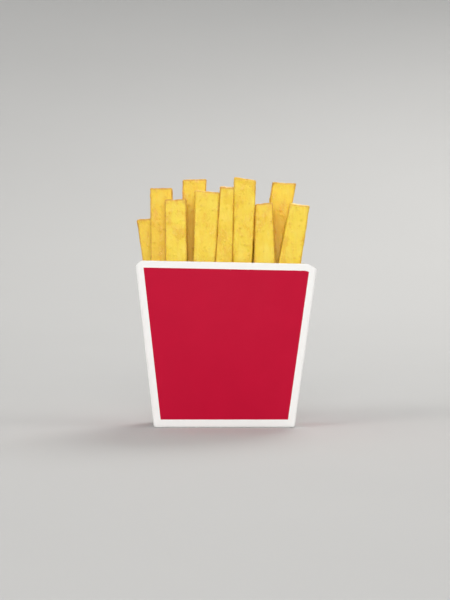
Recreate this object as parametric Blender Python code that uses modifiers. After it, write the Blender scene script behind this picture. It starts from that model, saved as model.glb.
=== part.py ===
"""A portion of thick-cut french fries standing in an open, tapered carton of printed board.

Two solids: the carton, folded and glued from one sheet, and the bundle of fries that fills it.
Metres, +Z up. The origin is the middle of the carton's footprint on the table, +X is to the right
of the front panel and -Y is the side that faces the customer.
"""

import math
import random
from collections import namedtuple

import bmesh
import bpy
from mathutils import Matrix

MM = 0.001

# Carton, measured over the outside of the board. It stands a little askew: the middle of its rim
# lies to the right of the middle of its base.
RIM_WIDTH = 90.4 * MM
RIM_DEPTH = 46 * MM
BASE_WIDTH = 70 * MM
BASE_DEPTH = 36 * MM
RIM_HEIGHT = 82.4 * MM
RIM_SHIFT = 1.2 * MM
BOARD = 0.5 * MM
FOLD_RADIUS = 1.2 * MM
FOLD_SEGMENTS = 2
PANEL_CUTS = (19, 7, 8)

# The filled carton swells: most at the middle of each panel, and from this share of its height up
FACE_BOW = 1.6 * MM
SIDE_BOW = 0.4 * MM
BOW_GROWS_UNTIL = 0.7

# Rim: a little higher at the left, rounded down at the left and right folds, dished at the sides
RIM_TILT = 0.9 * MM
LEFT_CORNER_RUN = 4 * MM
RIGHT_CORNER_RUN = 6.5 * MM
CORNER_DROP = 2.6 * MM
SIDE_DIP = 3.2 * MM

# Glue flap inside the right panel, at the back
SEAM_WIDTH = 10 * MM
SEAM_END_GAP = 4 * MM
GLUE_BITE = 0.2 * MM

# Core: the lower part of the bundle, which the board hides
CORE_INSET = 1.6 * MM
CORE_LIFT = 0.4 * MM
CORE_TOP = 56 * MM
CORE_CORNER = 2 * MM

# Fries: four rows from front to back
FRY_FOOT = 49 * MM
FRY_DEPTH = (9.2 * MM, 10.0 * MM)
FRY_BOW = 0.4 * MM
FRY_WOBBLE = 0.2 * MM
FRY_CUTS = 4
EDGE_ROUND = 1 * MM
ROW_Y = (-16.3 * MM, -5.7 * MM, 4.9 * MM, 15.4 * MM)
SHAPE_SEED = 7

# The fries that make the front skyline, left to right, in millimetres: middle at the rim and at the
# tip, both from the middle of the rim, height of the tip, width at the rim and at the tip, row from
# the front, slope of the cut end.
DrawnFry = namedtuple("DrawnFry", "x_rim x_tip tip width_rim width_tip row end_slope")
SKYLINE_FRIES = (
    DrawnFry(-37.0, -40.3, 104.0, 10.5, 10.4, 2, 0.04),
    DrawnFry(-32.5, -32.7, 119.2, 11.2, 11.2, 1, 0.0),
    DrawnFry(-25.0, -25.3, 113.4, 11.3, 10.9, 0, 0.0),
    DrawnFry(-16.2, -16.0, 123.8, 11.6, 11.9, 1, 0.02),
    DrawnFry(-11.4, -9.6, 117.2, 10.9, 12.4, 0, -0.09),
    DrawnFry(-1.5, 0.3, 119.8, 8.9, 7.2, 0, -0.07),
    DrawnFry(8.0, 9.2, 123.7, 9.9, 11.3, 0, -0.14),
    DrawnFry(18.5, 18.5, 111.3, 10.6, 8.8, 0, 0.12),
    DrawnFry(23.5, 28.8, 122.2, 11.6, 11.7, 1, -0.07),
    DrawnFry(31.5, 36.2, 111.1, 11.4, 10.0, 0, -0.12),
)

# The fries behind and between them: how they are spaced, and how far each strays from its place
WALL_ROOM = 2 * MM
FRY_PITCH = 9.4 * MM
LEAST_GAP = 5.5 * MM
BETWEEN_FRIES = 0.5 * MM
BELOW_RIM = 4 * MM
LOWER_BY = (1 * MM, 11 * MM)
TIP_ABOVE_RIM = 30 * MM
COVER_MARGIN = 0.6 * MM
STRAY_X = 0.2 * MM
STRAY_Y = 0.4 * MM
STRAY_LEAN_X = 0.025
STRAY_LEAN_Y = 0.02
STRAY_SLOPE = 0.18
STRAY_TURN = 0.09
NARROWS_TO = 0.92

# One fry as it is built: middle at the rim, lean per metre of height, height of the tip, width at
# the rim and at the tip, depth, slope of the cut end, turn about its own length, bow each way.
Fry = namedtuple(
    "Fry", "x y lean_x lean_y tip width_rim width_tip depth end_slope turn bow_x bow_y"
)


def clear_scene():
    for obj in list(bpy.data.objects):
        bpy.data.objects.remove(obj, do_unlink=True)


def principled(name, colour, roughness):
    material = bpy.data.materials.new(name)
    material.use_nodes = True
    shader = material.node_tree.nodes["Principled BSDF"]
    shader.inputs["Base Color"].default_value = (*colour, 1)
    shader.inputs["Roughness"].default_value = roughness
    shader.inputs["Metallic"].default_value = 0
    material.diffuse_color = (*colour, 1)
    return material


def new_collection(name, helper=False):
    collection = bpy.data.collections.new(name)
    bpy.context.scene.collection.children.link(collection)
    collection.hide_render = helper
    return collection


def new_object(name, bm, collection, material=None, helper=False):
    mesh = bpy.data.meshes.new(name)
    bm.to_mesh(mesh)
    bm.free()
    obj = bpy.data.objects.new(name, mesh)
    collection.objects.link(obj)
    if material:
        mesh.materials.append(material)
    if helper:
        obj.hide_render = True
        obj.display_type = "WIRE"
    return obj


def join_to(obj, name, pieces):
    """Joins every piece of a collection to obj."""
    modifier = obj.modifiers.new(name, "BOOLEAN")
    modifier.operation = "UNION"
    modifier.solver = "EXACT"
    modifier.operand_type = "COLLECTION"
    modifier.collection = pieces


def upright_edges(bm):
    return [
        e for e in bm.edges
        if abs(e.verts[0].co.z - e.verts[1].co.z) > 0.9 * e.calc_length()
    ]


def bevel(bm, edges, offset, segments=1):
    bmesh.ops.bevel(
        bm, geom=edges, offset=offset, segments=segments, profile=0.5, affect="EDGES",
        material=-1,
    )


def half_width(z):
    return (BASE_WIDTH + (RIM_WIDTH - BASE_WIDTH) * z / RIM_HEIGHT) / 2


def half_depth(z):
    return (BASE_DEPTH + (RIM_DEPTH - BASE_DEPTH) * z / RIM_HEIGHT) / 2


def middle_x(z):
    """How far the middle of the carton, and of what stands in it, lies to the right at a height."""
    return RIM_SHIFT * min(1.0, z / RIM_HEIGHT)


def rim_height(u, v):
    """Height of the cut edge at shares u and v of the half width and the half depth."""
    corner_run = LEFT_CORNER_RUN if u < 0 else RIGHT_CORNER_RUN
    run = corner_run - (1 - abs(u)) * RIM_WIDTH / 2
    corner = 1 - math.cos(math.pi / 2 * max(0.0, run) / corner_run)
    return RIM_HEIGHT - RIM_TILT * u - CORNER_DROP * corner - SIDE_DIP * (1 - v * v)


def fold_into_shape(point):
    """Takes a point of the straight box to its place on the tapered, slightly swollen carton."""
    u = point.x / (RIM_WIDTH / 2)
    v = point.y / (RIM_DEPTH / 2)
    share = point.z / RIM_HEIGHT
    z = share * rim_height(u, v)
    swell = math.sin(math.pi / 2 * min(1.0, share / BOW_GROWS_UNTIL))
    point.x = middle_x(z) + u * (half_width(z) + SIDE_BOW * (1 - v * v) * swell)
    point.y = v * (half_depth(z) + FACE_BOW * (1 - u * u) * swell)
    point.z = z


def cut_across(bm, axis, cuts):
    """Cuts every panel edge that runs along an axis, but not the short ones of the rounded folds."""
    found = []
    for edge in bm.edges:
        run = edge.verts[0].co - edge.verts[1].co
        if abs(run[axis]) > 0.99 * run.length and run.length > 2 * FOLD_RADIUS:
            found.append(edge)
    bmesh.ops.subdivide_edges(bm, edges=found, cuts=cuts, use_grid_fill=True)


def crowd_columns_to_folds(bm):
    """Moves the cuts across the wide panels towards the folds, where the rim is rounded."""
    reach = RIM_WIDTH / 2 - FOLD_RADIUS
    for vert in bm.verts:
        if abs(vert.co.x) < reach:
            vert.co.x = reach * math.sin(math.pi / 2 * vert.co.x / reach)


def make_seam_flap():
    """The glue flap: a strip from the back panel, lapped inside the right panel."""
    collection = new_collection("glued_flap", helper=True)
    side_tilt = math.atan(((RIM_WIDTH - BASE_WIDTH) / 2 + RIM_SHIFT) / RIM_HEIGHT)
    back_tilt = math.atan((RIM_DEPTH - BASE_DEPTH) / 2 / RIM_HEIGHT)
    thickness = BOARD + GLUE_BITE
    height = RIM_HEIGHT - CORNER_DROP - 2 * SEAM_END_GAP
    middle = (RIM_HEIGHT - CORNER_DROP) / 2
    bm = bmesh.new()
    bmesh.ops.create_cube(bm, size=1)
    bmesh.ops.scale(bm, vec=(thickness, SEAM_WIDTH, height), verts=bm.verts)
    flap = new_object("seam_flap", bm, collection, helper=True)
    flap.location = (
        middle_x(middle) + half_width(middle) - BOARD + GLUE_BITE - thickness / 2,
        half_depth(middle) - FOLD_RADIUS - SEAM_WIDTH / 2,
        middle,
    )
    flap.rotation_euler = (-back_tilt, side_tilt, 0)
    return collection


def make_carton(collection, material):
    """The board: a straight box with its mouth cut out, folded into shape and made board-thick."""
    bm = bmesh.new()
    bmesh.ops.create_cube(bm, size=1)
    bmesh.ops.scale(bm, vec=(RIM_WIDTH, RIM_DEPTH, RIM_HEIGHT), verts=bm.verts)
    bmesh.ops.translate(bm, vec=(0, 0, RIM_HEIGHT / 2), verts=bm.verts)
    mouth = [f for f in bm.faces if f.normal.z > 0.5]
    bmesh.ops.delete(bm, geom=mouth, context="FACES_ONLY")
    folds = [e for e in bm.edges if not e.is_boundary]
    bevel(bm, folds, FOLD_RADIUS, FOLD_SEGMENTS)
    for axis, cuts in enumerate(PANEL_CUTS):
        cut_across(bm, axis, cuts)
    crowd_columns_to_folds(bm)
    for vert in bm.verts:
        fold_into_shape(vert.co)
    carton = new_object("carton", bm, collection, material)
    board = carton.modifiers.new("board", "SOLIDIFY")
    board.thickness = BOARD
    board.offset = -1
    board.use_even_offset = True
    join_to(carton, "glue", make_seam_flap())
    return carton


def make_core(collection):
    """A block that follows the carton inside, up to where single fries show."""
    floor = BOARD + CORE_LIFT
    bm = bmesh.new()
    bmesh.ops.create_cube(bm, size=2)
    for vert in bm.verts:
        z = floor if vert.co.z < 0 else CORE_TOP
        vert.co.x = middle_x(z) + vert.co.x * (half_width(z) - CORE_INSET)
        vert.co.y *= half_depth(z) - CORE_INSET
        vert.co.z = z
    bevel(bm, upright_edges(bm), CORE_CORNER)
    return new_object("fries", bm, collection, helper=True)


def strays(rng):
    """What differs from fry to fry, whether it is in the front skyline or not."""
    return {
        "depth": rng.uniform(*FRY_DEPTH),
        "bow_x": rng.uniform(-FRY_BOW, FRY_BOW),
        "bow_y": rng.uniform(-FRY_BOW, FRY_BOW),
    }


def drawn_fries(rng):
    """The fries of the front skyline. They fan out to front and back as the carton does."""
    spread_y = (RIM_DEPTH - BASE_DEPTH) / RIM_DEPTH / RIM_HEIGHT
    for fry in SKYLINE_FRIES:
        y = ROW_Y[fry.row]
        tip = fry.tip * MM
        yield Fry(
            x=fry.x_rim * MM,
            y=y,
            lean_x=(fry.x_tip - fry.x_rim) * MM / (tip - RIM_HEIGHT),
            lean_y=y * spread_y,
            tip=tip,
            width_rim=fry.width_rim * MM,
            width_tip=fry.width_tip * MM,
            end_slope=fry.end_slope,
            turn=0.0,
            **strays(rng),
        )


def free_spans(row):
    """The stretches of a row, at the rim, where no fry of the front skyline stands."""
    limit = RIM_WIDTH / 2 - WALL_ROOM
    start = -limit
    for fry in sorted(f for f in SKYLINE_FRIES if f.row == row):
        yield start, (fry.x_rim - fry.width_rim / 2) * MM
        start = (fry.x_rim + fry.width_rim / 2) * MM
    yield start, limit


def cover(x, row):
    """Height up to which the front skyline hides what stands at x in a row behind it."""
    hiding = [
        f.tip * MM for f in SKYLINE_FRIES
        if f.row < row and abs(x - f.x_tip * MM) <= f.width_tip * MM / 2
    ]
    return max(hiding, default=RIM_HEIGHT - BELOW_RIM)


def filler_fry(x_place, row, width, rng):
    """A fry at its place in a row, a little lower than what hides it from the front."""
    spread_x = (RIM_WIDTH - BASE_WIDTH) / RIM_WIDTH / RIM_HEIGHT
    spread_y = (RIM_DEPTH - BASE_DEPTH) / RIM_DEPTH / RIM_HEIGHT
    x = x_place + rng.uniform(-STRAY_X, STRAY_X)
    y = ROW_Y[row] + rng.uniform(-STRAY_Y, STRAY_Y)
    lean_x = x * spread_x + rng.uniform(-STRAY_LEAN_X, STRAY_LEAN_X)
    tip_x = x + lean_x * TIP_ABOVE_RIM
    reach = width / 2 + COVER_MARGIN
    hidden_up_to = min(cover(tip_x + side * reach, row) for side in (-1, 0, 1))
    return Fry(
        x=x,
        y=y,
        lean_x=lean_x,
        lean_y=y * spread_y + rng.uniform(-STRAY_LEAN_Y, STRAY_LEAN_Y),
        tip=hidden_up_to - rng.uniform(*LOWER_BY),
        width_rim=width,
        width_tip=width * rng.uniform(NARROWS_TO, 1),
        end_slope=rng.uniform(-STRAY_SLOPE, STRAY_SLOPE),
        turn=rng.uniform(-STRAY_TURN, STRAY_TURN),
        **strays(rng),
    )


def filler_fries(rng):
    """The fries that fill each row between and beside those of the front skyline."""
    for row in range(len(ROW_Y)):
        for start, end in free_spans(row):
            if end - start < LEAST_GAP:
                continue
            count = max(1, round((end - start) / FRY_PITCH))
            pitch = (end - start) / count
            width = min(pitch, FRY_PITCH) - BETWEEN_FRIES
            for place in range(count):
                yield filler_fry(start + (place + 0.5) * pitch, row, width, rng)


def make_fry(name, fry, rng, collection):
    """One straight-cut fry from inside the core to its tip: a bar with broken edges, a slight bow
    and a cut end, leaning through its place at the rim."""
    length = fry.tip - FRY_FOOT
    bm = bmesh.new()
    bmesh.ops.create_cube(bm, size=1)
    bmesh.ops.scale(bm, vec=(fry.width_rim, fry.depth, length), verts=bm.verts)
    bevel(bm, upright_edges(bm), EDGE_ROUND)
    bmesh.ops.subdivide_edges(bm, edges=upright_edges(bm), cuts=FRY_CUTS, use_grid_fill=True)
    bmesh.ops.rotate(bm, matrix=Matrix.Rotation(fry.turn, 3, "Z"), verts=bm.verts)
    for vert in bm.verts:
        share = vert.co.z / length + 0.5
        is_end = share > 0.99
        z = FRY_FOOT + share * length
        above_rim = max(0.0, z - RIM_HEIGHT) / max(fry.tip - RIM_HEIGHT, MM)
        x = vert.co.x * (1 + (fry.width_tip / fry.width_rim - 1) * above_rim)
        y = vert.co.y
        bend = math.sin(math.pi * share)
        wobble = 0.0 if is_end else FRY_WOBBLE
        vert.co.x = middle_x(z) + fry.x + x + fry.lean_x * (z - RIM_HEIGHT) + fry.bow_x * bend
        vert.co.y = fry.y + y + fry.lean_y * (z - RIM_HEIGHT) + fry.bow_y * bend
        vert.co.x += rng.uniform(-wobble, wobble)
        vert.co.y += rng.uniform(-wobble, wobble)
        vert.co.z = z + (fry.end_slope * x if is_end else 0.0)
    return new_object(name, bm, collection, helper=True)


def keep_outer_skin(mesh):
    """Drops what a union leaves apart from the largest skin: sealed hollows and loose scraps."""
    bm = bmesh.new()
    bm.from_mesh(mesh)
    bmesh.ops.triangulate(bm, faces=bm.faces)
    left = set(bm.faces)
    skins = []
    while left:
        skin = []
        to_visit = [left.pop()]
        while to_visit:
            face = to_visit.pop()
            skin.append(face)
            near = {f for e in face.edges for f in e.link_faces} & left
            left -= near
            to_visit.extend(near)
        skins.append(skin)
    skins.sort(key=len)
    scraps = [face for skin in skins[:-1] for face in skin]
    bmesh.ops.delete(bm, geom=scraps, context="FACES")
    bm.to_mesh(mesh)
    bm.free()


def make_fries(collection, material):
    """The bundle: the core and every fry, joined into one solid."""
    rng = random.Random(SHAPE_SEED)
    pieces = new_collection("fry_pieces", helper=True)
    fries = make_core(collection)
    for number, fry in enumerate([*drawn_fries(rng), *filler_fries(rng)]):
        make_fry(f"fry_{number + 1}", fry, rng, pieces)
    join_to(fries, "fuse", pieces)
    graph = bpy.context.evaluated_depsgraph_get()
    fused = bpy.data.meshes.new_from_object(fries.evaluated_get(graph))
    keep_outer_skin(fused)
    fused.materials.append(material)
    fries.modifiers.clear()
    fries.data = fused
    fries.hide_render = False
    fries.display_type = "TEXTURED"
    for obj in list(pieces.objects):
        bpy.data.objects.remove(obj, do_unlink=True)
    bpy.data.collections.remove(pieces)
    return fries


def main():
    clear_scene()
    collection = new_collection("french_fries_in_carton")
    board = principled("printed_board", (0.52, 0.006, 0.038), 0.42)
    potato = principled("fried_potato", (0.90, 0.62, 0.13), 0.5)
    make_carton(collection, board)
    make_fries(collection, potato)


main()
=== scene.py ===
"""Looks of a carton of french fries: printed board, fried potato, a pale studio floor."""

import math
import random
from collections import namedtuple

import bmesh
import bpy
from mathutils import Matrix, Vector, noise


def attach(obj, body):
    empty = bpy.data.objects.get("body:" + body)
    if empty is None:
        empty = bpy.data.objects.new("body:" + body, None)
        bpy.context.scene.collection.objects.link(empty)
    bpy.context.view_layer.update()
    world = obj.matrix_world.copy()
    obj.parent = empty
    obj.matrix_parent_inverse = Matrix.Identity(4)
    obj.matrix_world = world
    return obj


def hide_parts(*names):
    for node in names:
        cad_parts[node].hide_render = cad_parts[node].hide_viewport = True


MM = 0.001

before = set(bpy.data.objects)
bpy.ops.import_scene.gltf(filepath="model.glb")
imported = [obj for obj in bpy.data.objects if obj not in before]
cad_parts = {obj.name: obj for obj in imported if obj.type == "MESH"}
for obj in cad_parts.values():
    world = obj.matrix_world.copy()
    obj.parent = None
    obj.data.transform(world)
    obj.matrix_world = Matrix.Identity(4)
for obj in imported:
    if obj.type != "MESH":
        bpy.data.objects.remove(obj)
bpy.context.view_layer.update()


# Studio
# A pale sweep: a round floor that curves up into a wall, so that no horizon shows from any side. The
# camera looks straight at the front panel, almost level with it, at two pixels to the millimetre. Soft
# lights stand to the left, to the right and behind, and one with a narrow beam stands in front.
FLOOR_RADIUS = 0.55
SWEEP_RADIUS = 2.6
SWEEP_STEPS = 24
SWEEP_SIDES = 96
WALL_HEIGHT = 3.0
PAPER_DARK = (0.50, 0.50, 0.495, 1)
PAPER_LIGHT = (0.53, 0.53, 0.525, 1)
LENS = 120
SENSOR = 36
FRAME_HEIGHT = 0.2965
CAMERA_RISE = math.radians(1.5)
AIM = Vector((0.0004, -0.0235, 0.06375))
WARM_LIGHT = (1.0, 0.97, 0.93)
SOFT_LIGHT = (1.0, 0.975, 0.945)
BACK_LIGHT = (1.0, 0.98, 0.95)
WHITE_LIGHT = (1.0, 1.0, 1.0)
AIR_COLOUR = (0.99, 0.995, 1.0, 1)
AIR_STRENGTH = 0.71
TOUCHING = 0.01 * MM


def new_mesh_object(name, bm):
    mesh = bpy.data.meshes.new(name)
    bm.to_mesh(mesh)
    bm.free()
    obj = bpy.data.objects.new(name, mesh)
    bpy.context.scene.collection.objects.link(obj)
    return obj


def add_node(tree, kind, inputs=None, **settings):
    """Adds a shader node. Each input is given a value, or the socket that feeds it."""
    node = tree.nodes.new("ShaderNode" + kind)
    for name, value in settings.items():
        setattr(node, name, value)
    for key, value in (inputs or {}).items():
        if isinstance(value, bpy.types.NodeSocket):
            tree.links.new(value, node.inputs[key])
        else:
            node.inputs[key].default_value = value
    return node


def new_material(name):
    material = bpy.data.materials.new(name)
    material.use_nodes = True
    return material, material.node_tree, material.node_tree.nodes["Principled BSDF"]


def blend_colours(tree, share, first, second):
    """The colour between two, at a share that varies over the surface."""
    node = add_node(tree, "Mix", {0: share, 6: first, 7: second}, data_type="RGBA")
    return node.outputs[2]


def make_paper():
    material, tree, shader = new_material("pale_paper")
    place = add_node(tree, "TexCoord").outputs["Object"]
    cloud = add_node(tree, "TexNoise", {"Vector": place, "Scale": 3.0, "Detail": 3.0})
    colour = blend_colours(tree, cloud.outputs["Fac"], PAPER_DARK, PAPER_LIGHT)
    tree.links.new(colour, shader.inputs["Base Color"])
    shader.inputs["Roughness"].default_value = 0.9
    shader.inputs["Specular IOR Level"].default_value = 0.2
    return material


def make_sweep():
    """A profile of floor, curve and wall, spun round the upright axis."""
    profile = [(0, 0), (FLOOR_RADIUS, 0)]
    for step in range(1, SWEEP_STEPS + 1):
        angle = math.pi / 2 * step / SWEEP_STEPS
        outward = FLOOR_RADIUS + SWEEP_RADIUS * math.sin(angle)
        upward = SWEEP_RADIUS * (1 - math.cos(angle))
        profile.append((outward, upward))
    profile.append((FLOOR_RADIUS + SWEEP_RADIUS, WALL_HEIGHT))
    bm = bmesh.new()
    verts = [bm.verts.new((x, 0, z)) for x, z in profile]
    edges = [bm.edges.new(pair) for pair in zip(verts, verts[1:])]
    bmesh.ops.spin(
        bm, geom=verts + edges, axis=(0, 0, 1), cent=(0, 0, 0), angle=2 * math.pi,
        steps=SWEEP_SIDES, use_merge=True,
    )
    bmesh.ops.remove_doubles(bm, verts=bm.verts, dist=TOUCHING)
    bmesh.ops.recalc_face_normals(bm, faces=bm.faces)
    sweep = new_mesh_object("studio_floor", bm)
    sweep.data.shade_smooth()
    sweep.data.materials.append(make_paper())


def make_camera():
    data = bpy.data.cameras.new("camera")
    data.lens = LENS
    data.sensor_width = SENSOR
    data.clip_start = 0.01
    data.clip_end = 20
    camera = bpy.data.objects.new("camera", data)
    bpy.context.scene.collection.objects.link(camera)
    distance = FRAME_HEIGHT * LENS / SENSOR
    back = Vector((0, -math.cos(CAMERA_RISE), math.sin(CAMERA_RISE)))
    camera.location = AIM + back * distance
    camera.rotation_mode = "QUATERNION"
    camera.rotation_quaternion = (-back).to_track_quat("-Z", "Y")
    bpy.context.scene.camera = camera


def make_light(name, place, aim_height, size, power, colour, beam=180):
    """A round soft light that faces the upright axis at a height. Its beam is an angle in degrees."""
    data = bpy.data.lights.new(name, "AREA")
    data.shape = "DISK"
    data.size = size
    data.spread = math.radians(beam)
    data.energy = power
    data.color = colour
    light = bpy.data.objects.new(name, data)
    bpy.context.scene.collection.objects.link(light)
    light.location = place
    towards = Vector((0, 0, aim_height)) - Vector(place)
    light.rotation_mode = "QUATERNION"
    light.rotation_quaternion = towards.to_track_quat("-Z", "Y")


def fill_with_light():
    world = bpy.data.worlds.new("studio_air")
    world.use_nodes = True
    background = world.node_tree.nodes["Background"]
    background.inputs["Color"].default_value = AIR_COLOUR
    background.inputs["Strength"].default_value = AIR_STRENGTH
    bpy.context.scene.world = world


make_sweep()
make_camera()
make_light(
    "key", place=(-1.35, -1.25, 1.35), aim_height=0.06, size=1.0, power=11.3, colour=WARM_LIGHT
)
make_light(
    "fill", place=(1.80, -0.50, 0.85), aim_height=0.06, size=1.3, power=9, colour=SOFT_LIGHT
)
make_light(
    "front", place=(0.0, -1.45, 0.50), aim_height=0.08, size=0.5, power=0.72,
    colour=WHITE_LIGHT, beam=50,
)
make_light(
    "back", place=(0.45, 1.25, 1.40), aim_height=0.07, size=0.9, power=17, colour=BACK_LIGHT
)
fill_with_light()
bpy.context.scene.view_settings.view_transform = "Standard"


# Carton
# One sheet of white folding board, half a millimetre thick. It is printed red on the outside with a
# border left white round each panel, die-cut, scored and folded. The front flap is glued over the
# bottom, and a strip of the back panel is glued inside the right panel. It swells where it is full.
RIM_WIDTH = 90.4 * MM
RIM_DEPTH = 46 * MM
BASE_WIDTH = 70 * MM
BASE_DEPTH = 36 * MM
RIM_HEIGHT = 82.4 * MM
RIM_SHIFT = 1.2 * MM
BOARD = 0.5 * MM
FOLD_RADIUS = 1.2 * MM
FOLD_SEGMENTS = 4
PANEL_CUTS = (47, 23, 51)
CUTS_CROWD = 2 / 3
NEARLY_ALONG = 0.99
NEARLY_LEVEL = 0.9
FACE_BOW = 1.6 * MM
SIDE_BOW = 0.4 * MM
BOW_GROWS_UNTIL = 0.7
DENT = 0.22 * MM
DENTS_ACROSS = (4.5, 2.3, 2.2)
RIM_TILT = 0.9 * MM
LEFT_CORNER_RUN = 4 * MM
RIGHT_CORNER_RUN = 6.5 * MM
CORNER_DROP = 2.6 * MM
SIDE_DIP = 3.2 * MM
TUCK = BOARD + 0.05 * MM
TUCK_RUN = 0.06
FLAP_FIRST_STEP = 0.04
FLAP_SIDE_GAP = 1.6 * MM
FLAP_BACK_GAP = 5 * MM
FLAP_CORNER_CUT = 6 * MM
SEAM_WIDTH = 10 * MM
SEAM_FROM_FOLD = 1.6 * MM
SEAM_STEP = 1.5 * MM
SEAM_SLIT = 0.3 * MM
CUT_ROUND = 0.09 * MM
ON_LINE = 0.02 * MM
BORDER_MM = 3.8
RIM_BORDER_MM = 3.4
BASE_BORDER_MM = 4.1
PRINT_WAVER_MM = 0.04
PRINT_BLUR_MM = 0.05
PRINT_RED = ((0.555, 0.0015, 0.034, 1), (0.50, 0.001, 0.029, 1))
COATED_WHITE = ((0.94, 0.937, 0.928, 1), (0.905, 0.90, 0.885, 1))
INSIDE_WHITE = ((0.90, 0.885, 0.85, 1), (0.84, 0.815, 0.76, 1))
EDGE_WHITE = ((0.84, 0.82, 0.78, 1), (0.74, 0.71, 0.65, 1))
PRINT_ROUGHNESS = (0.34, 0.48)
INSIDE_ROUGHNESS = (0.6, 0.8)
EDGE_ROUGHNESS = (0.75, 0.95)
PRINT_GRAIN = 1900.0
BARE_GRAIN = 1300.0
PRINT_RELIEF = 0.04 * MM
INSIDE_RELIEF = 0.06 * MM
EDGE_RELIEF = 0.1 * MM
INK_HEIGHT = 0.35


def cut_across(bm, axis, cuts, shortest):
    """Cuts every edge that runs along an axis, unless it is as short as those of a rounded fold."""
    found = []
    for edge in bm.edges:
        run = edge.verts[0].co - edge.verts[1].co
        if abs(run[axis]) > NEARLY_ALONG * run.length and run.length > shortest:
            found.append(edge)
    bmesh.ops.subdivide_edges(bm, edges=found, cuts=cuts, use_grid_fill=True)


def half_width(z):
    """Half the carton's width at a height, before it swells."""
    return (BASE_WIDTH + (RIM_WIDTH - BASE_WIDTH) * z / RIM_HEIGHT) / 2


def half_depth(z):
    return (BASE_DEPTH + (RIM_DEPTH - BASE_DEPTH) * z / RIM_HEIGHT) / 2


def middle_x(z):
    """The carton stands a little askew: its middle lies further to the right up to the rim."""
    return RIM_SHIFT * min(1.0, z / RIM_HEIGHT)


def rim_height(u, v):
    """Height of the cut edge at shares u and v of the half width and the half depth."""
    corner_run = LEFT_CORNER_RUN if u < 0 else RIGHT_CORNER_RUN
    run = corner_run - (1 - abs(u)) * RIM_WIDTH / 2
    corner = 1 - math.cos(math.pi / 2 * max(0.0, run) / corner_run)
    return RIM_HEIGHT - RIM_TILT * u - CORNER_DROP * corner - SIDE_DIP * (1 - v * v)


def base_height(v):
    """The front fold turns under the floor at the bottom, and so lies one board lower."""
    return TUCK * min(1.0, max(0.0, (v + 1 - TUCK_RUN) / TUCK_RUN))


def fold_into_shape(point):
    """Takes a point of the straight box to its place on the tapered, swollen, slightly dented carton."""
    u = point.x / (RIM_WIDTH / 2)
    v = point.y / (RIM_DEPTH / 2)
    share = point.z / RIM_HEIGHT
    base = base_height(v)
    z = max(0.0, base + share * (rim_height(u, v) - base))
    swell = math.sin(math.pi / 2 * min(1.0, max(0.0, share) / BOW_GROWS_UNTIL))
    here = Vector((u, v, share)) * Vector(DENTS_ACROSS)
    dent = DENT * swell * noise.fractal(here, 1.0, 2.0, 3)
    point.x = middle_x(z) + u * (half_width(z) + (SIDE_BOW + dent) * (1 - v * v) * swell)
    point.y = v * (half_depth(z) + (FACE_BOW + dent) * (1 - u * u) * swell)
    point.z = z


def make_straight_box():
    """The four panels and the floor with rounded folds, before the walls lean out."""
    bm = bmesh.new()
    bmesh.ops.create_cube(bm, size=1)
    bmesh.ops.scale(bm, vec=(RIM_WIDTH, RIM_DEPTH, RIM_HEIGHT), verts=bm.verts)
    bmesh.ops.translate(bm, vec=(0, 0, RIM_HEIGHT / 2), verts=bm.verts)
    mouth = [f for f in bm.faces if f.normal.z > NEARLY_LEVEL]
    bmesh.ops.delete(bm, geom=mouth, context="FACES_ONLY")
    folds = [e for e in bm.edges if not e.is_boundary]
    bmesh.ops.bevel(
        bm, geom=folds, offset=FOLD_RADIUS, segments=FOLD_SEGMENTS, profile=0.5,
        affect="EDGES", material=-1,
    )
    for axis, cuts in enumerate(PANEL_CUTS):
        cut_across(bm, axis, cuts, 2 * FOLD_RADIUS)
    reach = RIM_WIDTH / 2 - FOLD_RADIUS
    for vert in bm.verts:
        if abs(vert.co.x) < reach:
            near_fold = reach * math.sin(math.pi / 2 * vert.co.x / reach)
            vert.co.x += CUTS_CROWD * (near_fold - vert.co.x)
    bm.normal_update()
    for face in bm.faces:
        face.material_index = 1 if face.normal.z < -NEARLY_LEVEL else 0
    return bm


def part_at(bm, is_there, is_behind):
    """Cuts the sheet open along a line and returns the edges and the points of its far lip."""
    line = [e for e in bm.edges if all(is_there(v.co) for v in e.verts)]
    bmesh.ops.split_edges(bm, edges=line)
    lips = [e for e in bm.edges if e.is_boundary and all(is_there(v.co) for v in e.verts)]
    far = [e for e in lips if is_behind(e.link_faces[0].calc_center_median())]
    return far, {v for e in far for v in e.verts}


def add_flap(bm, edges, steps):
    """Extends the sheet from some of its edges: each step moves the new edges on by a vector and then
    draws them in towards the middle along X by a share."""
    for move, draw_in in steps:
        made = bmesh.ops.extrude_edge_only(bm, edges=edges)["geom"]
        verts = [g for g in made if isinstance(g, bmesh.types.BMVert)]
        edges = [g for g in made if isinstance(g, bmesh.types.BMEdge)]
        edges = [e for e in edges if set(e.verts) <= set(verts)]
        for face in (g for g in made if isinstance(g, bmesh.types.BMFace)):
            face.material_index = 1
        bmesh.ops.translate(bm, vec=move, verts=verts)
        bmesh.ops.scale(bm, vec=(draw_in, 1, 1), verts=verts)


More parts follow.
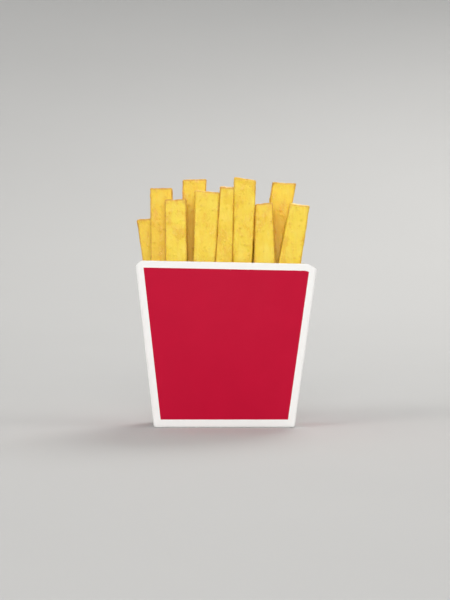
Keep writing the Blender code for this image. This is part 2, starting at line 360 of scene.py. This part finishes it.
def glue_seam(bm):
    """Parts the right panel near the back fold and runs a strip of the back panel on inside it."""
    half = RIM_WIDTH / 2
    seam_y = RIM_DEPTH / 2 - SEAM_FROM_FOLD

    def on_seam(point):
        return abs(point.y - seam_y) < ON_LINE and point.x > half - ON_LINE

    right = [f for f in bm.faces if f.calc_center_median().x > half - FOLD_RADIUS]
    around = dict.fromkeys(piece for f in right for piece in (*f.edges, *f.verts))
    bmesh.ops.bisect_plane(
        bm, geom=[*right, *around], dist=TOUCHING, plane_co=(0, seam_y, 0), plane_no=(0, 1, 0)
    )
    glued, glued_points = part_at(bm, on_seam, lambda p: p.y > seam_y)
    for vert in bm.verts:
        if on_seam(vert.co) and vert not in glued_points:
            vert.co.y -= SEAM_SLIT
    add_flap(
        bm, glued, (((-TUCK, -SEAM_STEP, 0), 1), ((0, SEAM_STEP - SEAM_WIDTH, 0), 1))
    )


def turn_bottom_flap(bm):
    """Parts the sheet at the front fold, raises the floor by a board and turns the flap under it."""
    half = RIM_WIDTH / 2
    fold_y = FOLD_RADIUS - RIM_DEPTH / 2

    def on_fold(point):
        at_fold = abs(point.y - fold_y) < ON_LINE and abs(point.z) < ON_LINE
        return at_fold and abs(point.x) < half - FOLD_RADIUS + ON_LINE

    turned, turned_points = part_at(bm, on_fold, lambda p: p.y < fold_y)
    for vert in bm.verts:
        if on_fold(vert.co) and vert not in turned_points:
            vert.co.z = TUCK
    flap_depth = (BASE_DEPTH - FOLD_RADIUS - FLAP_BACK_GAP) * RIM_DEPTH / BASE_DEPTH
    first = RIM_DEPTH * FLAP_FIRST_STEP
    side_in = (half - FLAP_SIDE_GAP) / (half - FOLD_RADIUS)
    corner_in = 1 - FLAP_CORNER_CUT / (half - FLAP_SIDE_GAP)
    add_flap(
        bm, turned,
        (
            ((0, first, -TUCK), side_in),
            ((0, flap_depth - FLAP_CORNER_CUT - first, 0), 1),
            ((0, FLAP_CORNER_CUT, 0), corner_in),
        ),
    )


def fold_sheet(bm):
    """Folds the sheet into shape, and notes how far each point is from the edges of its panel."""
    to_fold = bm.verts.layers.float.new("to_fold")
    to_rim = bm.verts.layers.float.new("to_rim")
    to_base = bm.verts.layers.float.new("to_base")
    for vert in bm.verts:
        u = vert.co.x / (RIM_WIDTH / 2)
        v = vert.co.y / (RIM_DEPTH / 2)
        fold_into_shape(vert.co)
        across = half_width(vert.co.z) * (1 - abs(u))
        along = half_depth(vert.co.z) * (1 - abs(v))
        vert[to_fold] = max(across, along) / MM
        vert[to_rim] = (rim_height(u, v) - vert.co.z) / MM
        vert[to_base] = vert.co.z / MM


def make_carton():
    bm = make_straight_box()
    glue_seam(bm)
    turn_bottom_flap(bm)
    fold_sheet(bm)
    for face in bm.faces:
        face.smooth = True
    return new_mesh_object("printed_carton", bm)


def give_thickness(sheet):
    """One board thick inwards, with plain board inside, and its cut edges a little rounded."""
    thickness = sheet.modifiers.new("board", "SOLIDIFY")
    thickness.thickness = BOARD
    thickness.offset = -1
    thickness.use_even_offset = True
    thickness.material_offset = 1
    thickness.material_offset_rim = 3
    rounding = sheet.modifiers.new("cut_edges", "BEVEL")
    rounding.width = CUT_ROUND
    rounding.segments = 2
    rounding.limit_method = "ANGLE"
    rounding.angle_limit = math.radians(60)
    rounding.harden_normals = True


def ramp(tree, value, start, end, low=0.0, high=1.0):
    """A number that goes from low to high while a value goes from start to end."""
    node = add_node(
        tree, "MapRange",
        {"Value": value, "From Min": start, "From Max": end, "To Min": low, "To Max": high},
    )
    return node.outputs["Result"]


def math_node(tree, operation, first, second):
    return add_node(tree, "Math", {0: first, 1: second}, operation=operation).outputs[0]


def make_fibre_group():
    """The board's fibres: a fine, slightly streaky grain, clouded over a few centimetres. The same
    grain lies under the print, on the bare inside and along the cut edges."""
    group = bpy.data.node_groups.new("board_fibre", "ShaderNodeTree")
    group.interface.new_socket("Place", in_out="INPUT", socket_type="NodeSocketVector")
    group.interface.new_socket("Grain Scale", in_out="INPUT", socket_type="NodeSocketFloat")
    group.interface.new_socket("Fibre", in_out="OUTPUT", socket_type="NodeSocketFloat")
    group.interface.new_socket("Cloud", in_out="OUTPUT", socket_type="NodeSocketFloat")
    start = group.nodes.new("NodeGroupInput")
    end = group.nodes.new("NodeGroupOutput")
    streaked = add_node(
        group, "Mapping", {"Vector": start.outputs["Place"], "Scale": (1.0, 1.0, 0.45)}
    )
    fibre = add_node(
        group, "TexNoise",
        {"Vector": streaked.outputs["Vector"], "Scale": start.outputs["Grain Scale"],
         "Detail": 4.0, "Roughness": 0.65},
    )
    cloud = add_node(
        group, "TexNoise", {"Vector": start.outputs["Place"], "Scale": 70.0, "Detail": 3.0}
    )
    group.links.new(fibre.outputs["Fac"], end.inputs["Fibre"])
    group.links.new(cloud.outputs["Fac"], end.inputs["Cloud"])
    return group


fibre_group = make_fibre_group()


def add_fibre(tree, grain_scale):
    """Places the board's fibres in a material. Returns their grain and their cloud."""
    node = tree.nodes.new("ShaderNodeGroup")
    node.node_tree = fibre_group
    tree.links.new(add_node(tree, "TexCoord").outputs["Object"], node.inputs["Place"])
    node.inputs["Grain Scale"].default_value = grain_scale
    return node.outputs["Fibre"], node.outputs["Cloud"]


def make_printed_board():
    """White coated board with a red field on each panel, which stops short of the panel's edges."""
    material, tree, shader = new_material("printed_board")
    fibre, cloud = add_fibre(tree, PRINT_GRAIN)
    to_fold, to_rim, to_base = (
        add_node(tree, "Attribute", attribute_name=name).outputs["Fac"]
        for name in ("to_fold", "to_rim", "to_base")
    )
    from_rim = math_node(tree, "SUBTRACT", to_rim, RIM_BORDER_MM - BORDER_MM)
    from_base = math_node(tree, "SUBTRACT", to_base, BASE_BORDER_MM - BORDER_MM)
    nearest = math_node(
        tree, "MINIMUM", math_node(tree, "MINIMUM", to_fold, from_rim), from_base
    )
    waver = ramp(tree, fibre, 0, 1, -PRINT_WAVER_MM, PRINT_WAVER_MM)
    printed = ramp(
        tree, math_node(tree, "ADD", nearest, waver),
        BORDER_MM - PRINT_BLUR_MM, BORDER_MM + PRINT_BLUR_MM,
    )
    red = blend_colours(tree, cloud, *PRINT_RED)
    white = blend_colours(tree, cloud, *COATED_WHITE)
    tree.links.new(blend_colours(tree, printed, white, red), shader.inputs["Base Color"])
    tree.links.new(ramp(tree, fibre, 0, 1, *PRINT_ROUGHNESS), shader.inputs["Roughness"])
    shader.inputs["Specular IOR Level"].default_value = 0.13
    height = math_node(tree, "ADD", fibre, ramp(tree, printed, 0, 1, 0, INK_HEIGHT))
    bump = add_node(
        tree, "Bump", {"Height": height, "Strength": 0.25, "Distance": PRINT_RELIEF}
    )
    tree.links.new(bump.outputs["Normal"], shader.inputs["Normal"])
    return material


def make_plain_board(name, colours, roughness, relief):
    """Board with no print on it: the uncoated inside, or the cut edges with their open fibres."""
    material, tree, shader = new_material(name)
    fibre, cloud = add_fibre(tree, BARE_GRAIN)
    tree.links.new(blend_colours(tree, cloud, *colours), shader.inputs["Base Color"])
    tree.links.new(ramp(tree, fibre, 0, 1, *roughness), shader.inputs["Roughness"])
    shader.inputs["Specular IOR Level"].default_value = 0.25
    bump = add_node(tree, "Bump", {"Height": fibre, "Strength": 0.4, "Distance": relief})
    tree.links.new(bump.outputs["Normal"], shader.inputs["Normal"])
    return material


carton = make_carton()
give_thickness(carton)
printed_board = make_printed_board()
plain_board = make_plain_board("plain_board", INSIDE_WHITE, INSIDE_ROUGHNESS, INSIDE_RELIEF)
board_edge = make_plain_board("board_edge", EDGE_WHITE, EDGE_ROUGHNESS, EDGE_RELIEF)
for material in (printed_board, plain_board, plain_board, board_edge):
    carton.data.materials.append(material)
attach(carton, "root")
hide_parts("carton")


# Fries
# Thick fries cut from whole potatoes with a ten millimetre grid and deep-fried: golden faces that
# sink a little between firm, browner edges, fine blisters, and square ends. Ten make the skyline at
# the front, as drawn, and the others stand in rows between and behind them.
FRY_FOOT = 49 * MM
FRY_DEPTH = (9.2 * MM, 10.0 * MM)
FRY_BOW = 0.4 * MM
ROW_Y = (-16.3 * MM, -5.7 * MM, 4.9 * MM, 15.4 * MM)
SHAPE_SEED = 7
DrawnFry = namedtuple("DrawnFry", "x_rim x_tip tip width_rim width_tip row end_slope")
SKYLINE_FRIES = (
    DrawnFry(-37.0, -40.3, 104.0, 10.5, 10.4, 2, 0.04),
    DrawnFry(-32.5, -32.7, 119.2, 11.2, 11.2, 1, 0.0),
    DrawnFry(-25.0, -25.3, 113.4, 11.3, 10.9, 0, 0.0),
    DrawnFry(-16.2, -16.0, 123.8, 11.6, 11.9, 1, 0.02),
    DrawnFry(-11.4, -9.6, 117.2, 10.9, 12.4, 0, -0.09),
    DrawnFry(-1.5, 0.3, 119.8, 8.9, 7.2, 0, -0.07),
    DrawnFry(8.0, 9.2, 123.7, 9.9, 11.3, 0, -0.14),
    DrawnFry(18.5, 18.5, 111.3, 10.6, 8.8, 0, 0.12),
    DrawnFry(23.5, 28.8, 122.2, 11.6, 11.7, 1, -0.07),
    DrawnFry(31.5, 36.2, 111.1, 11.4, 10.0, 0, -0.12),
)
WALL_ROOM = 2 * MM
FRY_PITCH = 9.4 * MM
LEAST_GAP = 5.5 * MM
BETWEEN_FRIES = 0.5 * MM
BELOW_RIM = 4 * MM
LOWER_BY = (1 * MM, 11 * MM)
TIP_ABOVE_RIM = 30 * MM
COVER_MARGIN = 0.6 * MM
STRAY_X = 0.2 * MM
STRAY_Y = 0.4 * MM
STRAY_LEAN_X = 0.025
STRAY_LEAN_Y = 0.02
STRAY_SLOPE = 0.18
STRAY_TURN = 0.09
NARROWS_TO = 0.92
CUTS_ACROSS = 10
RING = 0.85 * MM
HIDDEN_RING = 3 * MM
HIDDEN_UP_TO = 75 * MM
END_RING = 0.3 * MM
END_RUN = 7 * MM
EDGE_ROUND = (0.75 * MM, 1.25 * MM)
HOLLOW = (0.05 * MM, 0.35 * MM)
HOLLOW_FROM_EDGE = 1.6 * MM
DEPTH_SLOPE = 0.10
BROWNED_SHARE = (0.6, 1.0)
CRISP_EDGE = 0.75 * MM
CRISP_TIP = 2.2 * MM
EDGE_CRISPNESS = 0.85
TIP_CRISPNESS = 0.35
BLISTER_CRISPNESS = 0.5
PATTERN_SHIFT = 9
WAVE_SIZE_MM = 6
BLISTER_SIZE_MM = 2.2
NICK_SIZE_MM = 1.6
RIPPLE_SIZE_MM = 1.7
WAVE_RELIEF = 0.22 * MM
BLISTER_RELIEF = 0.34 * MM
NICK_RELIEF = 0.36 * MM
RIPPLE_RELIEF = 0.09 * MM
BLISTERS_FROM = 0.15
# Painted shade: inside the bundle and below the skyline the fries turn a deeper gold, where the others
# shade them.
OPEN_AIR_X = 37 * MM
OPEN_AIR_Y = 17 * MM
SHADE_RUN = 0.35
SHADE_FROM = 116 * MM
SHADE_UNTIL = 98 * MM
YELLOW_FACE = (0.925, 0.685, 0.047, 1)
DEEP_YELLOW_FACE = (0.91, 0.63, 0.033, 1)
PALE_PATCH = (0.965, 0.735, 0.10, 1)
GOLDEN_PATCH = (0.85, 0.52, 0.034, 1)
GOLDEN_STREAK = (0.86, 0.56, 0.033, 1)
CUT_END = (0.96, 0.735, 0.17, 1)
PAINTED_SHADE_GOLD = (0.90, 0.47, 0.014, 1)
BROWNED = (0.60, 0.26, 0.025, 1)
PALE_WHERE = (0.50, 0.70)
GOLDEN_WHERE = (0.46, 0.30)
STREAKED_WHERE = (0.50, 0.72)
BLISTER_DOME = (0.42, 0.10)
BLISTERED_WHERE = (0.48, 0.62)
BROWNED_WHERE = (0.15, 1.05)
GLOSSY_WHERE = (0.38, 0.62)
SKIN_ROUGHNESS = (0.27, 0.55)
STREAK_SHARE = 0.55
PAINTED_SHADE_SHARE = 0.5
GRAIN_BROWNS = (-0.45, 0.45)
BLISTERS_BROWN = 0.28
STREAK_HEIGHT = 0.5
Fry = namedtuple(
    "Fry", "x y lean_x lean_y tip width_rim width_tip depth end_slope turn bow_x bow_y"
)
Skin = namedtuple("Skin", "edge_round hollow tone depth_slope browned shift")


def strays(rng):
    """A fry's depth, and the bow that it took on in the oil."""
    return {
        "depth": rng.uniform(*FRY_DEPTH),
        "bow_x": rng.uniform(-FRY_BOW, FRY_BOW),
        "bow_y": rng.uniform(-FRY_BOW, FRY_BOW),
    }


def drawn_fries(rng):
    """The ten fries of the skyline. Their x values are from the middle of the rim, in millimetres."""
    spread_y = (RIM_DEPTH - BASE_DEPTH) / RIM_DEPTH / RIM_HEIGHT
    for fry in SKYLINE_FRIES:
        y = ROW_Y[fry.row]
        tip = fry.tip * MM
        yield Fry(
            x=fry.x_rim * MM,
            y=y,
            lean_x=(fry.x_tip - fry.x_rim) * MM / (tip - RIM_HEIGHT),
            lean_y=y * spread_y,
            tip=tip,
            width_rim=fry.width_rim * MM,
            width_tip=fry.width_tip * MM,
            end_slope=fry.end_slope,
            turn=0.0,
            **strays(rng),
        )


def free_spans(row):
    """The stretches of a row that the skyline's fries leave free, from wall to wall."""
    limit = RIM_WIDTH / 2 - WALL_ROOM
    start = -limit
    for fry in sorted(f for f in SKYLINE_FRIES if f.row == row):
        yield start, (fry.x_rim - fry.width_rim / 2) * MM
        start = (fry.x_rim + fry.width_rim / 2) * MM
    yield start, limit


def cover(x, row):
    """Height up to which the front skyline hides what stands at x in a row behind it."""
    hiding = [
        f.tip * MM for f in SKYLINE_FRIES
        if f.row < row and abs(x - f.x_tip * MM) <= f.width_tip * MM / 2
    ]
    return max(hiding, default=RIM_HEIGHT - BELOW_RIM)


def filler_fry(x_place, row, width, rng):
    """A fry at its place in a row, a little lower than what hides it from the front."""
    spread_x = (RIM_WIDTH - BASE_WIDTH) / RIM_WIDTH / RIM_HEIGHT
    spread_y = (RIM_DEPTH - BASE_DEPTH) / RIM_DEPTH / RIM_HEIGHT
    x = x_place + rng.uniform(-STRAY_X, STRAY_X)
    y = ROW_Y[row] + rng.uniform(-STRAY_Y, STRAY_Y)
    lean_x = x * spread_x + rng.uniform(-STRAY_LEAN_X, STRAY_LEAN_X)
    tip_x = x + lean_x * TIP_ABOVE_RIM
    reach = width / 2 + COVER_MARGIN
    hidden_up_to = min(cover(tip_x + side * reach, row) for side in (-1, 0, 1))
    return Fry(
        x=x,
        y=y,
        lean_x=lean_x,
        lean_y=y * spread_y + rng.uniform(-STRAY_LEAN_Y, STRAY_LEAN_Y),
        tip=hidden_up_to - rng.uniform(*LOWER_BY),
        width_rim=width,
        width_tip=width * rng.uniform(NARROWS_TO, 1),
        end_slope=rng.uniform(-STRAY_SLOPE, STRAY_SLOPE),
        turn=rng.uniform(-STRAY_TURN, STRAY_TURN),
        **strays(rng),
    )


def filler_fries(rng):
    """The fries that fill each row from wall to wall between the drawn ones."""
    for row in range(len(ROW_Y)):
        for start, end in free_spans(row):
            if end - start < LEAST_GAP:
                continue
            count = max(1, round((end - start) / FRY_PITCH))
            pitch = (end - start) / count
            width = min(pitch, FRY_PITCH) - BETWEEN_FRIES
            for place in range(count):
                yield filler_fry(start + (place + 0.5) * pitch, row, width, rng)


def draw_skin(rng):
    """What differs from fry to fry in how the surface came out of the oil."""
    return Skin(
        edge_round=rng.uniform(*EDGE_ROUND),
        hollow=rng.uniform(*HOLLOW),
        tone=rng.uniform(0, 1),
        depth_slope=rng.uniform(-DEPTH_SLOPE, DEPTH_SLOPE),
        browned=rng.uniform(*BROWNED_SHARE),
        shift=Vector([rng.uniform(-PATTERN_SHIFT, PATTERN_SHIFT) for _ in range(3)]),
    )


def cut_into_rings(bm, low, high, spacing):
    """Cuts the upright edges that run from one height to another into rings."""
    found = [
        e for e in bm.edges
        if min(v.co.z for v in e.verts) < low + TOUCHING
        and max(v.co.z for v in e.verts) > high - TOUCHING
    ]
    cuts = round((high - low) / spacing) - 1
    if cuts > 0:
        bmesh.ops.subdivide_edges(bm, edges=found, cuts=cuts, use_grid_fill=True)


def cut_block(half):
    """A square-edged block centred on the origin, cut fine where it shows and closest at its edges."""
    bm = bmesh.new()
    bmesh.ops.create_cube(bm, size=2)
    bmesh.ops.scale(bm, vec=half, verts=bm.verts)
    shows_from = HIDDEN_UP_TO - FRY_FOOT - half.z
    end_ring = half.z - END_RING
    levels = [-half.z, end_ring]
    if shows_from < end_ring - MM:
        levels.insert(1, shows_from)
    for level in levels[1:]:
        bmesh.ops.bisect_plane(
            bm, geom=[*bm.verts, *bm.edges, *bm.faces], dist=TOUCHING,
            plane_co=(0, 0, level), plane_no=(0, 0, 1),
        )
    for low, high in zip(levels, levels[1:]):
        cut_into_rings(bm, low, high, RING if low == shows_from else HIDDEN_RING)
    for axis in (0, 1):
        cut_across(bm, axis, CUTS_ACROSS, 2 * MM)
    for vert in bm.verts:
        for axis in (0, 1):
            share = max(-1.0, min(1.0, vert.co[axis] / half[axis]))
            vert.co[axis] = half[axis] * math.sin(math.pi / 2 * share)
    return bm


def round_edges(bm, half, skin):
    """Rounds the block's edges and notes crispness, tone and cut end at each point. Returns how far
    each point sinks between the firmer edges."""
    crisp = bm.verts.layers.float.new("crisp")
    tone = bm.verts.layers.float.new("tone")
    cut_end = bm.verts.layers.float.new("cut_end")
    sunk = {}
    for vert in bm.verts:
        gaps = sorted(half[axis] - abs(vert.co[axis]) for axis in range(3))
        to_edge = max(0.0, gaps[1])
        in_face = 1 - math.exp(-((to_edge / HOLLOW_FROM_EDGE) ** 2))
        near_edge = math.exp(-((to_edge / CRISP_EDGE) ** 2))
        near_tip = math.exp(-(half.z - vert.co.z) / CRISP_TIP)
        crispness = EDGE_CRISPNESS * near_edge + TIP_CRISPNESS * near_tip
        vert[crisp] = skin.browned * min(1.0, crispness)
        vert[tone] = skin.tone
        vert[cut_end] = in_face if vert.co.z > half.z - TOUCHING else 0.0
        sunk[vert] = skin.hollow * in_face
        inner = Vector([
            max(skin.edge_round - h, min(h - skin.edge_round, c))
            for c, h in zip(vert.co, half)
        ])
        away = vert.co - inner
        vert.co = inner + away.normalized() * skin.edge_round
    bm.normal_update()
    return sunk


def fry_surface(bm, sunk, shift):
    """Moves each point along its normal: sunken faces, long waves, blisters, nicks and ripples."""
    crisp = bm.verts.layers.float["crisp"]
    moved = []
    for vert in bm.verts:
        here = vert.co / MM
        in_wave = Vector((here.x, here.y, here.z / 2)) / WAVE_SIZE_MM
        in_ripple = Vector((here.x, here.y, here.z / 6)) / RIPPLE_SIZE_MM
        wave = noise.fractal(in_wave + shift, 1.0, 2.0, 2)
        bubbles = noise.fractal(here / BLISTER_SIZE_MM + shift * 3, 0.8, 2.0, 2)
        blister = max(0.0, bubbles - BLISTERS_FROM)
        nick = noise.fractal(here / NICK_SIZE_MM + shift * 5, 0.7, 2.0, 2) * vert[crisp]
        ripple = noise.fractal(in_ripple + shift, 0.8, 2.0, 2)
        height = (
            WAVE_RELIEF * wave + BLISTER_RELIEF * blister + NICK_RELIEF * nick
            + RIPPLE_RELIEF * ripple - sunk[vert]
        )
        moved.append(vert.co + vert.normal * height)
        vert[crisp] = min(1.0, vert[crisp] + BLISTER_CRISPNESS * blister)
    for vert, place in zip(bm.verts, moved):
        vert.co = place


def shade_in_bundle(point):
    """Painted shade: 1 where the other fries close a fry in and shade it, 0 at the outside of the
    bundle.
    """
    outward = max(abs(point.x - RIM_SHIFT) / OPEN_AIR_X, abs(point.y) / OPEN_AIR_Y)
    inward = max(0.0, min(1.0, (1 - outward) / SHADE_RUN))
    return inward * max(0.0, min(1.0, (SHADE_FROM - point.z) / (SHADE_FROM - SHADE_UNTIL)))


def stand_in_carton(bm, fry, depth_slope):
    """Turns, tapers, bends and leans a fry, slants its end, and stands it at its place."""
    painted_shade = bm.verts.layers.float.new("painted_shade")
    length = fry.tip - FRY_FOOT
    bmesh.ops.rotate(bm, matrix=Matrix.Rotation(fry.turn, 3, "Z"), verts=bm.verts)
    for vert in bm.verts:
        share = vert.co.z / length + 0.5
        z = FRY_FOOT + share * length
        above_rim = max(0.0, z - RIM_HEIGHT) / max(fry.tip - RIM_HEIGHT, MM)
        x = vert.co.x * (1 + (fry.width_tip / fry.width_rim - 1) * above_rim)
        y = vert.co.y
        bend = math.sin(math.pi * max(0.0, min(1.0, share)))
        near_tip = max(0.0, 1 - (fry.tip - z) / END_RUN)
        vert.co.x = middle_x(z) + fry.x + x + fry.lean_x * (z - RIM_HEIGHT) + fry.bow_x * bend
        vert.co.y = fry.y + y + fry.lean_y * (z - RIM_HEIGHT) + fry.bow_y * bend
        vert.co.z = z + (fry.end_slope * x + depth_slope * y) * near_tip
        # Painted shade: how far inside the bundle this point lies.
        vert[painted_shade] = shade_in_bundle(vert.co)


def shape_fry(fry, number):
    """One fry as a mesh of its own, with its crispness, tone and painted shade noted at each point."""
    skin = draw_skin(random.Random(number))
    half = Vector((fry.width_rim / 2, fry.depth / 2, (fry.tip - FRY_FOOT) / 2))
    bm = cut_block(half)
    sunk = round_edges(bm, half, skin)
    fry_surface(bm, sunk, skin.shift)
    stand_in_carton(bm, fry, skin.depth_slope)
    return bm


def join_meshes(name, meshes):
    """One object from several meshes, with what is noted at their points."""
    joined = bmesh.new()
    for bm in meshes:
        part = bpy.data.meshes.new("part")
        bm.to_mesh(part)
        bm.free()
        joined.from_mesh(part)
        bpy.data.meshes.remove(part)
    for face in joined.faces:
        face.smooth = True
    return new_mesh_object(name, joined)


def add_noise(tree, place, scale, detail, roughness, stretch=1.0):
    """Noise over the surface, drawn out along the fries where stretch is under 1."""
    if stretch < 1:
        mapping = add_node(tree, "Mapping", {"Vector": place, "Scale": (1.0, 1.0, stretch)})
        place = mapping.outputs["Vector"]
    node = add_node(
        tree, "TexNoise",
        {"Vector": place, "Scale": scale, "Detail": detail, "Roughness": roughness},
    )
    return node.outputs["Fac"]


def make_skin_group():
    """Fried potato: golden, paler in the thick of a face, browner where it is crisp, and a deeper gold
    painted in as shade where the bundle closes a fry in.
    """
    group = bpy.data.node_groups.new("fried_skin", "ShaderNodeTree")
    for name, kind in (
        ("Place", "NodeSocketVector"), ("Crisp", "NodeSocketFloat"),
        ("Tone", "NodeSocketFloat"), ("Cut End", "NodeSocketFloat"), ("Painted Shade", "NodeSocketFloat"),
    ):
        group.interface.new_socket(name, in_out="INPUT", socket_type=kind)
    for name, kind in (
        ("Colour", "NodeSocketColor"), ("Roughness", "NodeSocketFloat"),
        ("Grain", "NodeSocketFloat"), ("Blisters", "NodeSocketFloat"),
    ):
        group.interface.new_socket(name, in_out="OUTPUT", socket_type=kind)
    start = group.nodes.new("NodeGroupInput").outputs
    end = group.nodes.new("NodeGroupOutput").inputs
    place = start["Place"]

    patch = add_noise(group, place, scale=210.0, detail=3.0, roughness=0.6, stretch=0.5)
    streak = add_noise(group, place, scale=800.0, detail=3.0, roughness=0.6, stretch=0.14)
    grain = add_noise(group, place, scale=1300.0, detail=4.0, roughness=0.65)
    freckle = add_noise(group, place, scale=620.0, detail=2.0, roughness=0.5)
    bubble = add_node(
        group, "TexVoronoi", {"Vector": place, "Scale": 430.0, "Smoothness": 0.4},
        feature="SMOOTH_F1",
    )
    raised = ramp(group, bubble.outputs["Distance"], *BLISTER_DOME)
    blisters = math_node(group, "MULTIPLY", raised, ramp(group, freckle, *BLISTERED_WHERE))

    face = blend_colours(group, start["Tone"], YELLOW_FACE, DEEP_YELLOW_FACE)
    face = blend_colours(group, ramp(group, patch, *PALE_WHERE), face, PALE_PATCH)
    face = blend_colours(group, ramp(group, patch, *GOLDEN_WHERE), face, GOLDEN_PATCH)
    streaked = ramp(group, streak, *STREAKED_WHERE, 0, STREAK_SHARE)
    face = blend_colours(group, streaked, face, GOLDEN_STREAK)
    face = blend_colours(group, start["Cut End"], face, CUT_END)
    # Painted shade: a deeper gold where the bundle closes a fry in.
    shade_share = math_node(group, "MULTIPLY", start["Painted Shade"], PAINTED_SHADE_SHARE)
    face = blend_colours(group, shade_share, face, PAINTED_SHADE_GOLD)
    browned = math_node(group, "ADD", start["Crisp"], ramp(group, grain, 0, 1, *GRAIN_BROWNS))
    browned = math_node(group, "ADD", browned, ramp(group, blisters, 0, 1, 0, BLISTERS_BROWN))
    colour = blend_colours(group, ramp(group, browned, *BROWNED_WHERE), face, BROWNED)
    relief = math_node(group, "ADD", grain, ramp(group, streak, 0, 1, 0, STREAK_HEIGHT))

    group.links.new(colour, end["Colour"])
    group.links.new(ramp(group, patch, *GLOSSY_WHERE, *SKIN_ROUGHNESS), end["Roughness"])
    group.links.new(relief, end["Grain"])
    group.links.new(blisters, end["Blisters"])
    return group


skin_group = make_skin_group()


def make_potato(name):
    """Lets a little light through, and is glossy with oil. Blisters and grain stand out on it."""
    material, tree, shader = new_material(name)
    skin = tree.nodes.new("ShaderNodeGroup")
    skin.node_tree = skin_group
    tree.links.new(add_node(tree, "TexCoord").outputs["Object"], skin.inputs["Place"])
    for socket, attribute in (
        ("Crisp", "crisp"), ("Tone", "tone"), ("Cut End", "cut_end"), ("Painted Shade", "painted_shade"),
    ):
        noted = add_node(tree, "Attribute", attribute_name=attribute)
        tree.links.new(noted.outputs["Fac"], skin.inputs[socket])
    tree.links.new(skin.outputs["Colour"], shader.inputs["Base Color"])
    tree.links.new(skin.outputs["Roughness"], shader.inputs["Roughness"])
    shader.inputs["Subsurface Weight"].default_value = 0.2
    shader.inputs["Subsurface Radius"].default_value = (1.0, 0.5, 0.12)
    shader.inputs["Subsurface Scale"].default_value = 1.2 * MM
    blisters = add_node(
        tree, "Bump",
        {"Height": skin.outputs["Blisters"], "Strength": 0.8, "Distance": 0.25 * MM},
    )
    grain = add_node(
        tree, "Bump",
        {"Height": skin.outputs["Grain"], "Normal": blisters.outputs["Normal"], "Strength": 0.8,
         "Distance": 0.26 * MM},
    )
    tree.links.new(grain.outputs["Normal"], shader.inputs["Normal"])
    return material


rng = random.Random(SHAPE_SEED)
all_fries = [*drawn_fries(rng), *filler_fries(rng)]
fries = join_meshes("fries_standing", [shape_fry(fry, n) for n, fry in enumerate(all_fries)])
fries.data.materials.append(make_potato("fried_potato"))
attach(fries, "root")
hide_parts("fries")


# Bed of fries
# The lower ends, packed against each other inside the board, show only between the upright fries when
# one looks straight down. They are coloured dark with painted shade, darkest where the top dips.
BED_INSET = 1.6 * MM
BED_LIFT = 0.4 * MM
BED_TOP = 56 * MM
BED_CUTS = (40, 20, 6)
BED_BUMP = 1.5 * MM
BED_BUMP_SIZE = 4 * MM
BED_SHADE_BROWNING = 0.5
BED_HOLLOW_SHADE = 0.3


def make_bed():
    floor = 2 * BOARD + BED_LIFT
    bm = bmesh.new()
    bmesh.ops.create_cube(bm, size=2)
    for axis, cuts in enumerate(BED_CUTS):
        cut_across(bm, axis, cuts, MM)
    crisp = bm.verts.layers.float.new("crisp")
    painted_shade = bm.verts.layers.float.new("painted_shade")
    for vert in bm.verts:
        # Painted shade: the whole bed takes the full deeper gold of the bundle.
        vert[painted_shade] = 1
        on_top = vert.co.z > 0.99
        z = floor + (vert.co.z + 1) / 2 * (BED_TOP - floor)
        vert.co.x = middle_x(z) + vert.co.x * (half_width(z) - BED_INSET)
        vert.co.y *= half_depth(z) - BED_INSET
        vert.co.z = z
        if on_top:
            bump = noise.fractal(vert.co / BED_BUMP_SIZE, 1.0, 2.0, 2)
            vert.co.z += BED_BUMP * bump
            # Painted shade: browned all over, darker where the top dips and paler on its bumps.
            vert[crisp] = BED_SHADE_BROWNING - BED_HOLLOW_SHADE * bump
    for face in bm.faces:
        face.smooth = True
    return new_mesh_object("fries_bed", bm)


bed = make_bed()
bed.data.materials.append(make_potato("fried_potato_bed"))
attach(bed, "root")
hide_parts("fries")
